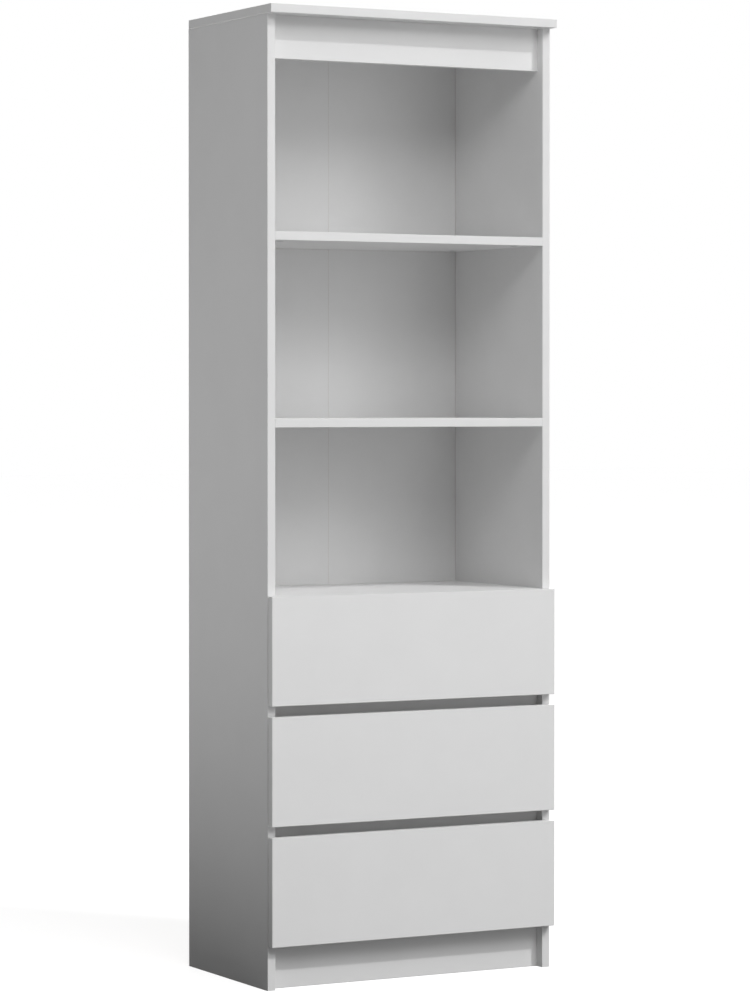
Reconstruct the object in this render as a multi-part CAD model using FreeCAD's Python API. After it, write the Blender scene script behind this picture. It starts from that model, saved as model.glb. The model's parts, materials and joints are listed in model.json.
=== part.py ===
import FreeCAD, Part

import math
import os

from FreeCAD import Rotation, Vector

# A tall bookcase of melamine-faced board: three open compartments over three drawers on roller runners.
# Sizes are in millimetres. While it is built, x = 0 is the middle of the bookcase, y = 0 is the plane of
# the side panels' front edges with +y towards the back, and z = 0 is the floor.

# Boards
board = 16.0
hardboard = 3.0
edge_radius = 0.8
fit = 0.05

# Carcass
carcass_width = 600.0
overall_height = 1800.0
side_depth = 334.0
top_side_overhang = 3.0
top_front_overhang = 21.0
top_rear_setback = 7.0
lower_bay_height = 308.0
middle_bay_height = 326.5

# Rails and plinth, all set back from the front edges by the same amount
rail_recess = 20.0
front_rail_height = 80.0
rear_rail_height = 40.0
cross_rail_height = 60.0
plinth_height = 80.0

# Back of two hardboard leaves, which meet in the middle over a joint tape
back_inset = 2.0
back_seam = 0.8
tape_width = 24.0
tape_thickness = 0.8

# Drawers
drawers = ("lower", "middle", "upper")
front_height = 200.0
finger_gap = 20.0
front_above_plinth = 1.0
bumper_thickness = 2.5
bumper_radius = 5.0
bumper_chamfer = 0.5
bumper_edge_distance = 15.0
rail_clearance = 6.0
lift_out_clearance = 14.0
bottom_lift = 10.0
groove_depth = 8.0
groove_play = 0.1
groove_end_play = 0.5

# Roller runners of folded sheet steel
steel = 1.2
runner_space = 12.5
runner_setback = 2.0
runner_rear_space = 34.0
flange_lift = 1.0
flange_width = 14.0
side_play = 0.8
channel_play = 0.5
channel_mouth = 44.0
front_axle_distance = 20.0
rear_axle_distance = 15.5
stop_clearance = 0.6

# Nylon rollers on riveted pins
roller_radius = 9.7
roller_width = 7.2
roller_gap = 0.5
roller_chamfer = 0.8
rolling_gap = 0.3
pin_radius = 2.5
pin_head_radius = 3.8
pin_head_thickness = 1.3
pin_head_gap = 0.1
counterbore_radius = 4.4
counterbore_depth = 1.6

# Cam locks and their bolts
cam_radius = 7.5
cam_floor = 3.5
cam_distance = 34.0
cam_slot_length = 9.0
cam_slot_width = 1.6
cam_slot_depth = 2.5
bolt_thread_radius = 2.5
bolt_thread_length = 11.0
bolt_shank_radius = 3.4
bolt_neck_radius = 2.0
bolt_neck_length = 4.0
bolt_head_length = 3.0
bolt_end_play = 2.0
bolt_hole_radius = 4.0
hole_end_play = 0.5

# Dowels
dowel_radius = 4.0
dowel_length = 30.0
dowel_depth = 11.0
dowel_chamfer = 1.0
dowel_edge_distance = 8.0

# Where the fastenings of a shelf stand, from its front and rear edges
shelf_cam_distance = 50.0
shelf_dowel_distance = 100.0
top_cam_distance = 60.0
top_dowel_distance = 110.0
drawer_cam_edge_distance = 35.0

# Pan-head wood screws
screw_radius = 1.75
screw_length = 10.0
screw_head_radius = 3.0
screw_head_thickness = 1.6
screw_recess_radius = 1.0
screw_recess_depth = 0.9
screw_hole_radius = 2.0
screw_end_distance = 40.0

# Back nails
nail_radius = 0.9
nail_length = 18.0
nail_head_radius = 2.2
nail_head_thickness = 0.5
nail_spacing = 125.0
nail_end_distance = 45.0
nails_per_row = 3

# Wall brackets
bracket_thickness = 2.0
bracket_width = 20.0
bracket_leg = 30.0
bracket_distance = 182.0
wall_hole_radius = 2.75

# Places worked out from the sizes above
LEFT, RIGHT = -1, 1
SIDES = (LEFT, RIGHT)
SIDE_NAMES = {LEFT: "left", RIGHT: "right"}
X_AXIS = Vector(1, 0, 0)
Y_AXIS = Vector(0, 1, 0)
Z_AXIS = Vector(0, 0, 1)

outer_half = carcass_width / 2
inner_half = outer_half - board
side_middle = outer_half - board / 2
carcass_height = overall_height - board
overall_depth = top_front_overhang + side_depth + hardboard + tape_thickness

bottom_z = plinth_height
front_z = {name: plinth_height + front_above_plinth + place * (front_height + finger_gap)
           for place, name in enumerate(drawers)}
bay_shelf_z = front_z["upper"] + front_height - board
middle_shelf_z = bay_shelf_z + board + lower_bay_height
upper_shelf_z = middle_shelf_z + board + middle_bay_height

rail_lap = (cross_rail_height - finger_gap) / 2
box_lift = rail_lap + rail_clearance
box_side_height = front_height - box_lift - rail_lap - lift_out_clearance
box_half = inner_half - runner_space
box_inner_half = box_half - board
box_side_middle = box_half - board / 2
runner_length = side_depth - runner_rear_space
box_front_y = -bumper_thickness
box_rear_y = box_front_y + runner_length

channel_depth = runner_space - steel - side_play
lip_z = steel + 2 * rolling_gap + 2 * roller_radius + rolling_gap
channel_height = lip_z + steel + channel_play + steel
drawer_axle_z = steel + rolling_gap + roller_radius
cabinet_axle_z = drawer_axle_z + rolling_gap
cabinet_axle_y = runner_setback + front_axle_distance
drawer_axle_y = box_rear_y - rear_axle_distance
drawer_travel = drawer_axle_y - cabinet_axle_y - 2 * roller_radius - stop_clearance

shapes = {}
drillings = {}


# ---------------------------------------------------------------- basic solids


def box(x, y, z):
    """A block between the low and high ends of each axis."""
    low = Vector(min(x), min(y), min(z))
    return Part.makeBox(max(x) - low.x, max(y) - low.y, max(z) - low.z, low)


def rod(radius, start, end, direction=X_AXIS):
    """A cylinder on an axis through the origin, from start to end along the direction."""
    return Part.makeCylinder(radius, end - start, direction * start, direction)


def chamfered_rod(radius, start, end, chamfer):
    """A cylinder along x with both rims chamfered."""
    solid = rod(radius, start, end)
    rims = [edge for edge in solid.Edges if isinstance(edge.Curve, Part.Circle)]
    return solid.makeChamfer(chamfer, rims)


def placed(solid, origin, x_axis, z_axis):
    """The solid with its own x and z axes turned to the given directions and moved to the origin."""
    copy = solid.copy()
    turn = Rotation(x_axis, z_axis.cross(x_axis), z_axis, "ZXY")
    copy.Placement = FreeCAD.Placement(origin, turn)
    return copy


def mirrored(solid):
    """The right-hand twin of a left-hand solid."""
    return solid.mirror(Vector(0, 0, 0), X_AXIS)


def for_side(solid, side):
    """A solid drawn for the left side, on the given side."""
    return solid if side == LEFT else mirrored(solid)


def along(edge, axes):
    """Whether a straight edge runs along one of the named axes."""
    run = edge.Vertexes[-1].Point - edge.Vertexes[0].Point
    return any(abs(getattr(run, axis)) > edge.Length / 2 for axis in axes)


def add_board(name, x, y, z, banded=""):
    """A board whose edges along the banded axes are rounded, as edge banding is."""
    solid = box(x, y, z)
    rounded = [edge for edge in solid.Edges if along(edge, banded)]
    if rounded:
        solid = solid.makeFillet(edge_radius, rounded)
    shapes[name] = [solid]


def drill(name, tools):
    """Notes the holes to cut in a board once all its joints are known."""
    drillings.setdefault(name, []).extend(tools)


def add_hardware(name, solids):
    """Adds solids to a node that holds a group of like pieces."""
    shapes.setdefault(name, []).extend(solids)


# ---------------------------------------------------------------- fasteners
# Each is drawn with the joint plane at x = 0, +x into the board that receives it and the cam's face at +z.


def cam_lock():
    """A cam housing in its blind hole, open towards the bolt, with a cross slot in its face."""
    face = board / 2
    floor = cam_floor - board / 2
    solid = Part.makeCylinder(cam_radius, face - floor, Vector(-cam_distance, 0, floor))
    bore = rod(bolt_hole_radius, -cam_distance - bolt_end_play, -cam_distance + 2 * cam_radius)
    slots = []
    for length, width in ((cam_slot_length, cam_slot_width), (cam_slot_width, cam_slot_length)):
        x = (-cam_distance - length / 2, -cam_distance + length / 2)
        slots.append(box(x, (-width / 2, width / 2), (face - cam_slot_depth, face)))
    return solid.cut([bore] + slots)


def cam_bolt():
    """A bolt screwed into the receiving board, with a necked head that the cam draws in."""
    head_end = -cam_distance + bolt_head_length
    neck_end = head_end + bolt_neck_length
    head = rod(bolt_shank_radius, -cam_distance, head_end)
    neck = rod(bolt_neck_radius, head_end, neck_end)
    shank = rod(bolt_shank_radius, neck_end, 0)
    thread = rod(bolt_thread_radius, 0, bolt_thread_length)
    return head.fuse([neck, shank, thread])


def dowel():
    """A beech dowel with chamfered ends."""
    return chamfered_rod(dowel_radius, dowel_depth - dowel_length, dowel_depth, dowel_chamfer)


def wood_screw():
    """A pan-head screw seated on the plane x = 0, with a round recess in its head."""
    head = rod(screw_head_radius, -screw_head_thickness, 0)
    shank = rod(screw_radius, 0, screw_length)
    recess = rod(screw_recess_radius, -screw_head_thickness, screw_recess_depth - screw_head_thickness)
    return head.fuse(shank).cut(recess)


def nail():
    """A back nail seated on the plane x = 0."""
    head = rod(nail_head_radius, -nail_head_thickness, 0)
    return head.fuse(rod(nail_radius, 0, nail_length))


def cam_joint(member, receiver, point, into, face, locks, bolts):
    """Draws the end of a member against a receiving board with a cam lock and its bolt."""
    add_hardware(locks, [placed(cam_lock(), point, into, face)])
    add_hardware(bolts, [placed(cam_bolt(), point, into, face)])
    threaded = rod(bolt_thread_radius + fit, 0, bolt_thread_length + hole_end_play)
    clear = rod(bolt_hole_radius, -cam_distance, 0)
    floor = cam_floor - board / 2 - fit
    pocket = Part.makeCylinder(cam_radius + fit, board, Vector(-cam_distance, 0, floor))
    drill(receiver, [placed(threaded, point, into, face)])
    drill(member, [placed(clear, point, into, face), placed(pocket, point, into, face)])


def dowel_joint(member, receiver, point, into, across):
    """Aligns the end of a member with a receiving board."""
    add_hardware("carcass_dowels", [placed(dowel(), point, into, across)])
    hole = rod(dowel_radius + fit, dowel_depth - dowel_length - hole_end_play, dowel_depth + hole_end_play)
    for name in (member, receiver):
        drill(name, [placed(hole, point, into, across)])


def screw_joint(name, plate, thickness, receiver, point, into, across):
    """Screws a steel plate, whose outer face holds the point, to a board behind it."""
    add_hardware(name, [placed(wood_screw(), point, into, across)])
    clear = rod(screw_hole_radius, 0, thickness)
    pilot = rod(screw_radius + fit, 0, screw_length + hole_end_play)
    drill(plate, [placed(clear, point, into, across)])
    drill(receiver, [placed(pilot, point, into, across)])


def nail_joint(leaf, receiver, x, z):
    """Nails a leaf of the back to the rear edge of a board."""
    point = Vector(x, side_depth + hardboard, z)
    add_hardware("back_nails", [placed(nail(), point, -Y_AXIS, Z_AXIS)])
    hole = placed(rod(nail_radius + fit, 0, nail_length + hole_end_play), point, -Y_AXIS, Z_AXIS)
    drill(leaf, [hole])
    drill(receiver, [hole])


# ---------------------------------------------------------------- carcass


def side_panel(side):
    return SIDE_NAMES[side] + "_side_panel"


def add_carcass_boards():
    """The two sides, which stand on the floor, and the top, which lies on them."""
    for side in SIDES:
        x = (side * inner_half, side * outer_half)
        add_board(side_panel(side), x, (0, side_depth), (0, carcass_height), "z")
    x = (-outer_half - top_side_overhang, outer_half + top_side_overhang)
    y = (-top_front_overhang, side_depth - top_rear_setback)
    add_board("top_panel", x, y, (carcass_height, overall_height), "xyz")
    for side in SIDES:
        for distance in (top_cam_distance, side_depth - top_cam_distance):
            point = Vector(side * side_middle, distance, carcass_height)
            cam_joint(side_panel(side), "top_panel", point, Z_AXIS, X_AXIS * -side,
                      "carcass_cam_locks", "carcass_cam_bolts")
        for distance in (top_dowel_distance, side_depth - top_dowel_distance):
            point = Vector(side * side_middle, distance, carcass_height)
            dowel_joint(side_panel(side), "top_panel", point, Z_AXIS, X_AXIS)


def add_shelf(name, z):
    """A fixed shelf between the sides, on cams in its underside and dowels."""
    add_board(name, (-inner_half, inner_half), (0, side_depth), (z, z + board), "x")
    for side in SIDES:
        into = X_AXIS * side
        for distance in (shelf_cam_distance, side_depth - shelf_cam_distance):
            point = Vector(side * inner_half, distance, z + board / 2)
            cam_joint(name, side_panel(side), point, into, -Z_AXIS,
                      "carcass_cam_locks", "carcass_cam_bolts")
        for distance in (shelf_dowel_distance, side_depth - shelf_dowel_distance):
            point = Vector(side * inner_half, distance, z + board / 2)
            dowel_joint(name, side_panel(side), point, into, Z_AXIS)


def add_rail(name, y, z, height):
    """An upright board between the sides, on a cam in its rear face and two dowels at each end."""
    add_board(name, (-inner_half, inner_half), (y, y + board), (z, z + height), "x")
    middle = z + height / 2
    for side in SIDES:
        point = Vector(side * inner_half, y + board / 2, middle)
        cam_joint(name, side_panel(side), point, X_AXIS * side, Y_AXIS,
                  "carcass_cam_locks", "carcass_cam_bolts")
        for way in (-1, 1):
            offset = way * (height / 2 - dowel_edge_distance)
            dowel_joint(name, side_panel(side), point + Z_AXIS * offset, X_AXIS * side, Y_AXIS)


def add_back():
    """Two leaves nailed to the rear edges, and the tape that closes the seam between them."""
    edge = outer_half - back_inset
    z = (back_inset, carcass_height - back_inset)
    for side in SIDES:
        leaf = "back_panel_" + SIDE_NAMES[side]
        add_board(leaf, (side * back_seam / 2, side * edge), (side_depth, side_depth + hardboard), z)
    flange_y = side_depth + hardboard
    flange = box((-tape_width / 2, tape_width / 2), (flange_y, flange_y + tape_thickness), z)
    half_stem = back_seam / 2 - fit
    stem = box((-half_stem, half_stem), (flange_y - hardboard / 2, flange_y), z)
    shapes["back_joint_tape"] = [flange.fuse(stem)]


def add_back_nails():
    """Nails up both sides and along every board that reaches the back."""
    length = carcass_height - 2 * nail_end_distance
    steps = round(length / nail_spacing)
    rows = {"bottom_panel": bottom_z, "drawer_bay_shelf": bay_shelf_z,
            "middle_shelf": middle_shelf_z, "upper_shelf": upper_shelf_z}
    rail_row = carcass_height - rear_rail_height / 2
    for side in SIDES:
        leaf = "back_panel_" + SIDE_NAMES[side]
        for step in range(steps):
            height = nail_end_distance + step * length / steps
            nail_joint(leaf, side_panel(side), side * side_middle, height)
        for place in range(nails_per_row):
            column = side * inner_half * (place + 1) / (nails_per_row + 1)
            for name, z in rows.items():
                nail_joint(leaf, name, column, z + board / 2)
            nail_joint(leaf, "top_rear_rail", column, rail_row)


def add_wall_brackets():
    """Angle brackets under the top, whose upright legs take wall screws through the rear rail."""
    rail_face = side_depth - board
    hole_z = carcass_height - rear_rail_height / 2
    for side in SIDES:
        middle = side * bracket_distance
        x = (middle - bracket_width / 2, middle + bracket_width / 2)
        flat = box(x, (rail_face - bracket_leg, rail_face),
                   (carcass_height - bracket_thickness, carcass_height))
        upright = box(x, (rail_face - bracket_thickness, rail_face),
                      (carcass_height - rear_rail_height, carcass_height))
        wall_hole = placed(rod(wall_hole_radius, -bracket_thickness, board + hardboard),
                           Vector(middle, rail_face, hole_z), Y_AXIS, Z_AXIS)
        add_hardware("wall_brackets", [flat.fuse(upright).removeSplitter()])
        point = Vector(middle, rail_face - bracket_leg / 2, carcass_height - bracket_thickness)
        screw_joint("carcass_screws", "wall_brackets", bracket_thickness, "top_panel",
                    point, Z_AXIS, X_AXIS)
        for name in ("wall_brackets", "top_rear_rail", "back_panel_" + SIDE_NAMES[side]):
            drill(name, [wall_hole])


def add_carcass():
    add_carcass_boards()
    add_shelf("bottom_panel", bottom_z)
    add_shelf("drawer_bay_shelf", bay_shelf_z)
    add_shelf("middle_shelf", middle_shelf_z)
    add_shelf("upper_shelf", upper_shelf_z)
    add_rail("plinth_board", rail_recess, 0, plinth_height)
    add_rail("top_front_rail", rail_recess, carcass_height - front_rail_height, front_rail_height)
    add_rail("top_rear_rail", side_depth - board, carcass_height - rear_rail_height, rear_rail_height)
    for lower, upper in zip(drawers, drawers[1:]):
        add_rail(f"{lower}_cross_rail", rail_recess, front_z[upper] + rail_lap - cross_rail_height,
                 cross_rail_height)
    add_back()
    add_back_nails()
    add_wall_brackets()


# ---------------------------------------------------------------- roller runners


def roller():
    """A nylon roller on a pin along x, whose rivet head lies in a counterbore."""
    start, end = roller_gap, roller_gap + roller_width
    wheel = chamfered_rod(roller_radius, start, end, roller_chamfer)
    bore = rod(pin_radius + fit, start, end)
    counterbore = rod(counterbore_radius, end - counterbore_depth, end)
    return wheel.cut([bore, counterbore])


def roller_pin():
    """The pin and its rivet head, from inside the sheet at x < 0."""
    head_start = roller_gap + roller_width - counterbore_depth + pin_head_gap
    pin = rod(pin_radius, -steel / 2, head_start)
    return pin.fuse(rod(pin_head_radius, head_start, head_start + pin_head_thickness))


def cabinet_runner(z):
    """The left channel on the cabinet side, open at its mouth so that the drawer can be lifted out."""
    start, end = runner_setback, runner_setback + runner_length
    wall = -inner_half
    depth = (wall, wall + channel_depth)
    top = z + channel_height
    web = box((wall, wall + steel), (start, end), (z, top))
    track = box(depth, (start, end), (z, z + steel))
    cover = box(depth, (start + channel_mouth, end), (top - steel, top))
    rear_stop = box(depth, (end - steel, end), (z, top))
    pin = placed(roller_pin(), Vector(wall + steel, cabinet_axle_y, z + cabinet_axle_z), X_AXIS, Z_AXIS)
    return web.fuse([track, cover, rear_stop, pin]).removeSplitter()


def drawer_runner(z):
    """The left angle under the drawer side, with the lip that rides on the cabinet's roller."""
    wall = -box_half
    y = (box_front_y, box_rear_y)
    lip_top = z + lip_z + steel
    web = box((wall - steel, wall), y, (z + flange_lift, lip_top))
    flange = box((wall - steel, wall + flange_width), y, (z + flange_lift, z + flange_lift + steel))
    lip = box((-inner_half + steel + side_play, wall), y, (z + lip_z, lip_top))
    pin = placed(roller_pin(), Vector(wall - steel, drawer_axle_y, z + drawer_axle_z), -X_AXIS, Z_AXIS)
    return web.fuse([flange, lip, pin]).removeSplitter()


def add_runners(drawer, z):
    """Both runners of a drawer, their rollers and their screws, with the channel's underside at z."""
    cabinet_wheel = placed(roller(), Vector(-inner_half + steel, cabinet_axle_y, z + cabinet_axle_z),
                           X_AXIS, Z_AXIS)
    drawer_wheel = placed(roller(), Vector(-box_half - steel, drawer_axle_y, z + drawer_axle_z),
                          -X_AXIS, Z_AXIS)
    for side in SIDES:
        hand = SIDE_NAMES[side]
        fixed = f"{hand}_cabinet_runners"
        sliding = f"{drawer}_drawer_{hand}_runner"
        add_hardware(fixed, [for_side(cabinet_runner(z), side)])
        shapes[sliding] = [for_side(drawer_runner(z), side)]
        add_hardware(f"{drawer}_cabinet_rollers", [for_side(cabinet_wheel, side)])
        add_hardware(f"{drawer}_drawer_rollers", [for_side(drawer_wheel, side)])
        for position in (screw_end_distance, runner_length - screw_end_distance):
            point = Vector(side * (inner_half - steel), runner_setback + position, z + channel_height / 2)
            screw_joint("carcass_screws", fixed, steel, side_panel(side), point, X_AXIS * side, Y_AXIS)
            point = Vector(side * box_side_middle, box_front_y + position, z + flange_lift)
            screw_joint(f"{drawer}_drawer_screws", sliding, steel, f"{drawer}_drawer_{hand}_side",
                        point, Z_AXIS, X_AXIS)


# ---------------------------------------------------------------- drawers


def add_drawer_boards(drawer, z):
    """The front, the box of two sides and a back, and the bottom held in grooves all round."""
    front = f"{drawer}_drawer_front"
    back = f"{drawer}_drawer_back"
    box_z = z + box_lift
    box_top = box_z + box_side_height
    back_y = (box_rear_y - board, box_rear_y)
    front_y = (box_front_y - board, box_front_y)
    add_board(front, (-outer_half, outer_half), front_y, (z, z + front_height), "xyz")
    add_board(back, (-box_inner_half, box_inner_half), back_y, (box_z, box_top), "x")

    bottom_z_range = (box_z + bottom_lift, box_z + bottom_lift + hardboard)
    groove_z = (bottom_z_range[0] - groove_play, bottom_z_range[1] + groove_play)
    reach = groove_depth - groove_end_play
    bottom_x = box_inner_half + reach
    shapes[f"{drawer}_drawer_bottom"] = [
        box((-bottom_x, bottom_x), (box_front_y - reach, back_y[0] + reach), bottom_z_range)]
    groove_x = (-box_inner_half - groove_depth, box_inner_half + groove_depth)
    groove_ends = (box_front_y - groove_depth, back_y[0] + groove_depth)
    groove = box(groove_x, groove_ends, groove_z)
    for name in (front, back):
        drill(name, [groove])
    for side in SIDES:
        name = f"{drawer}_drawer_{SIDE_NAMES[side]}_side"
        add_board(name, (side * box_inner_half, side * box_half), (box_front_y, box_rear_y),
                  (box_z, box_top), "y")
        side_groove = box(groove_x, (box_front_y, box_rear_y), groove_z)
        drill(name, [side_groove])


def add_drawer_joints(drawer, z):
    """Cams that draw the sides to the front, and the back to the sides."""
    locks = f"{drawer}_drawer_cam_locks"
    bolts = f"{drawer}_drawer_cam_bolts"
    for side in SIDES:
        name = f"{drawer}_drawer_{SIDE_NAMES[side]}_side"
        for height in (drawer_cam_edge_distance, box_side_height - drawer_cam_edge_distance):
            level = z + box_lift + height
            front_point = Vector(side * box_side_middle, box_front_y, level)
            cam_joint(name, f"{drawer}_drawer_front", front_point, -Y_AXIS, X_AXIS * side, locks, bolts)
            back_point = Vector(side * box_inner_half, box_rear_y - board / 2, level)
            cam_joint(f"{drawer}_drawer_back", name, back_point, X_AXIS * side, Y_AXIS, locks, bolts)


def add_bumpers(z):
    """Soft bumpers on the sides' front edges, behind the corners of a drawer front."""
    for side in SIDES:
        for height in (bumper_edge_distance, front_height - bumper_edge_distance):
            bumper = chamfered_rod(bumper_radius, 0, bumper_thickness, bumper_chamfer)
            point = Vector(side * side_middle, 0, z + height)
            add_hardware("drawer_bumpers", [placed(bumper, point, -Y_AXIS, Z_AXIS)])


def add_drawer(drawer):
    z = front_z[drawer]
    add_drawer_boards(drawer, z)
    add_drawer_joints(drawer, z)
    add_runners(drawer, z + box_lift - steel - flange_lift)
    add_bumpers(z)


# ---------------------------------------------------------------- finished nodes


def finished(name):
    """A node's solids with their holes cut, in the frame whose origin is under the middle of the box."""
    solids = shapes[name]
    tools = drillings.get(name)
    if tools:
        solids = [piece for solid in solids for piece in solid.cut(tools).Solids]
    shift = Vector(0, top_front_overhang - overall_depth / 2, 0)
    moved = [solid.translated(shift) for solid in solids]
    return moved[0] if len(moved) == 1 else Part.makeCompound(moved)


def main():
    os.makedirs("parts", exist_ok=True)
    add_carcass()
    for drawer in drawers:
        add_drawer(drawer)
    for name in shapes:
        shape = finished(name)
        if not shape.isValid():
            raise ValueError(f"{name} is not a valid solid")
        shape.exportStep(f"parts/{name}.step")
    turns = math.degrees(drawer_travel / roller_radius)
    print(f"{len(shapes)} nodes")
    print(f"A drawer travels {drawer_travel:.1f} mm, which turns its rollers {turns:.0f} degrees")


main()
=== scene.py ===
"""The finished look of a bookcase with bottom drawers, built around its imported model.

Everything is in metres: x to the right, y to the back, z up, with the origin on the floor under the middle.
"""

import json
import math
from contextlib import contextmanager

import bmesh
import bpy
from mathutils import Matrix, Vector


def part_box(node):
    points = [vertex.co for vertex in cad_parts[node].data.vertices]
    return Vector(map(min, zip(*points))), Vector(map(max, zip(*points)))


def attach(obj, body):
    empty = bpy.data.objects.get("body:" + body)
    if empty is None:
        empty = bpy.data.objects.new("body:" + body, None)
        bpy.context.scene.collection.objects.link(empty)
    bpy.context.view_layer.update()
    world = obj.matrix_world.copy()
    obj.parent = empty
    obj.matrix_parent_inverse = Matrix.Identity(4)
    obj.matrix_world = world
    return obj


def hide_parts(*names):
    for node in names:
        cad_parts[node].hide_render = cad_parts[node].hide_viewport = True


bl_info = {
    "name": "Bookcase with bottom drawers",
    "version": (1, 0, 0),
    "blender": (4, 5, 0),
    "location": "3D View > Sidebar > Bookcase",
    "description": "Models and finishes the boards, fittings and studio of a bookcase with three drawers",
    "category": "Object",
}

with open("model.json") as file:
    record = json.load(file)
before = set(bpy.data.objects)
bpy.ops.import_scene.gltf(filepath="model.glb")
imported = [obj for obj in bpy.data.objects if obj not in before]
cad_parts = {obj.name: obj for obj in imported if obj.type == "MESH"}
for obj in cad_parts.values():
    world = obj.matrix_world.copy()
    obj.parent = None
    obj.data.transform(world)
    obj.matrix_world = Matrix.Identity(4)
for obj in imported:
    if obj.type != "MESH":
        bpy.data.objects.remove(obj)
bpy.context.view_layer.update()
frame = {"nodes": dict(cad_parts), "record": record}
NODES = frame["nodes"]
RECORD = frame["record"]
BODY_OF = {node: body for body, members in RECORD["behaviour"]["bodies"].items() for node in members}
WALL_FIXING = next(mount for mount in RECORD["mounts"] if mount["name"] == "wall_fixing")

MM = 0.001
X, Y, Z = range(3)
# Places nearer than SAME are one place, and a face nearer than NEAR to a board's side lies in it
SAME = 1e-6
NEAR = 1e-5
# The least part of an edge along an axis, or of a face's normal, that counts as running or facing that way
MOSTLY = 0.9
# Faces that meet at less than FLAT are one face, and a sheet's edges sharper than SHARP are broken
FLAT = math.radians(0.5)
SHARP = math.radians(60)
DRAWERS = ("lower", "middle", "upper")
HANDS = ("left", "right")

# Which way each board is thin, and the edges that are banded: those banded last run the full length
BOARDS = {
    "left_side_panel": (X, [(Y, -1)]),
    "right_side_panel": (X, [(Y, -1)]),
    "top_panel": (Z, [(X, -1), (X, 1), (Y, -1), (Y, 1)]),
    "upper_shelf": (Z, [(Y, -1)]),
    "middle_shelf": (Z, [(Y, -1)]),
    "drawer_bay_shelf": (Z, [(Y, -1)]),
    "bottom_panel": (Z, [(Y, -1)]),
    "top_front_rail": (Y, [(Z, -1), (Z, 1)]),
    "top_rear_rail": (Y, [(Z, -1), (Z, 1)]),
    "plinth_board": (Y, [(Z, -1), (Z, 1)]),
    "lower_cross_rail": (Y, [(Z, -1), (Z, 1)]),
    "middle_cross_rail": (Y, [(Z, -1), (Z, 1)]),
}
DRAWER_BOARDS = {
    "front": (Y, [(X, -1), (X, 1), (Z, -1), (Z, 1)]),
    "left_side": (X, [(Z, 1)]),
    "right_side": (X, [(Z, 1)]),
    "back": (Y, [(Z, 1)]),
}


# ---------------------------------------------------------------- modelling helpers


def select_only(*pieces):
    """Selects these objects alone, the first of them active."""
    for other in bpy.context.selected_objects:
        other.select_set(False)
    for piece in pieces:
        piece.select_set(True)
    bpy.context.view_layer.objects.active = pieces[0]


@contextmanager
def editing(piece):
    """Edit mode on one piece, with nothing selected in it."""
    select_only(piece)
    bpy.ops.object.mode_set(mode="EDIT")
    bpy.ops.mesh.select_all(action="DESELECT")
    yield
    bpy.ops.object.mode_set(mode="OBJECT")


def pick(piece, kind, test):
    """In edit mode, selects the "verts", "edges" or "faces" that pass the test, and nothing else."""
    bpy.ops.mesh.select_mode(type={"verts": "VERT", "edges": "EDGE", "faces": "FACE"}[kind])
    bpy.ops.mesh.select_all(action="DESELECT")
    mesh = bmesh.from_edit_mesh(piece.data)
    for element in getattr(mesh, kind):
        if test(element):
            element.select_set(True)
    mesh.select_flush_mode()
    bmesh.update_edit_mesh(piece.data)


def middle(element):
    """The middle of an edge's or face's corners."""
    return sum((corner.co for corner in element.verts), Vector()) / len(element.verts)


def runs_along(edge, axis):
    """Whether a straight edge runs along an axis."""
    run = edge.verts[1].co - edge.verts[0].co
    return abs(run[axis]) > MOSTLY * run.length


def edge_at(run, **places):
    """A test for the edges along an axis whose middles are at these places, such as z=0.02."""

    def test(edge):
        centre = middle(edge)
        return runs_along(edge, run) and all(abs(getattr(centre, axis) - place) < SAME
                                             for axis, place in places.items())

    return test


def bevel(piece, kind, test, width, segments):
    """In edit mode, bevels the "edges" or "verts" that pass the test."""
    pick(piece, kind, test)
    affect = {"edges": "EDGES", "verts": "VERTICES"}[kind]
    bpy.ops.mesh.bevel(offset=width, segments=segments, affect=affect)


def named(piece, name):
    piece.name = piece.data.name = name
    return piece


def new_block(name, low, high):
    """A block between two corners, to be shaped further."""
    low, high = Vector(low), Vector(high)
    bpy.ops.mesh.primitive_cube_add(size=1, location=(low + high) / 2, scale=high - low)
    piece = named(bpy.context.object, name)
    bpy.ops.object.transform_apply()
    return piece


def new_rod(name, radius, start, end, axis=Z, around=24):
    """A rod along an axis, between two points in line with it."""
    start, end = Vector(start), Vector(end)
    turn = {X: (0, math.pi / 2, 0), Y: (math.pi / 2, 0, 0), Z: (0, 0, 0)}[axis]
    bpy.ops.mesh.primitive_cylinder_add(vertices=around, radius=radius, depth=(end - start).length,
                                        location=(start + end) / 2, rotation=turn)
    piece = named(bpy.context.object, name)
    bpy.ops.object.transform_apply()
    return piece


def turned(name, profile, around=24, closed=False):
    """A shape turned about z from (radius, height) points in millimetres, with flat ends unless it closes."""
    radius, height = (size * MM for size in profile[0])
    bpy.ops.mesh.primitive_circle_add(vertices=around, radius=radius, location=(0, 0, height))
    piece = named(bpy.context.object, name)
    bpy.ops.object.transform_apply()
    with editing(piece):
        bpy.ops.mesh.select_mode(type="EDGE")
        bpy.ops.mesh.select_all(action="SELECT")
        for next_radius, next_height in profile[1:]:
            next_radius, next_height = next_radius * MM, next_height * MM
            bpy.ops.mesh.extrude_edges_move(TRANSFORM_OT_translate={"value": (0, 0, next_height - height)})
            size = next_radius / radius
            bpy.ops.transform.resize(value=(size, size, 1), center_override=(0, 0, next_height))
            radius, height = next_radius, next_height
        bpy.ops.mesh.select_all(action="SELECT")
        if closed:
            bpy.ops.mesh.remove_doubles(threshold=SAME)
        else:
            bpy.ops.mesh.fill_holes(sides=0)
        bpy.ops.mesh.select_all(action="SELECT")
        bpy.ops.mesh.normals_make_consistent(inside=False)
    return piece


def apply_modifier(piece, kind, **settings):
    """Adds a modifier with its settings, and applies it."""
    select_only(piece)
    modifier = piece.modifiers.new(kind.title(), kind)
    for setting, value in settings.items():
        setattr(modifier, setting, value)
    bpy.ops.object.modifier_apply(modifier=modifier.name)


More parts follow.
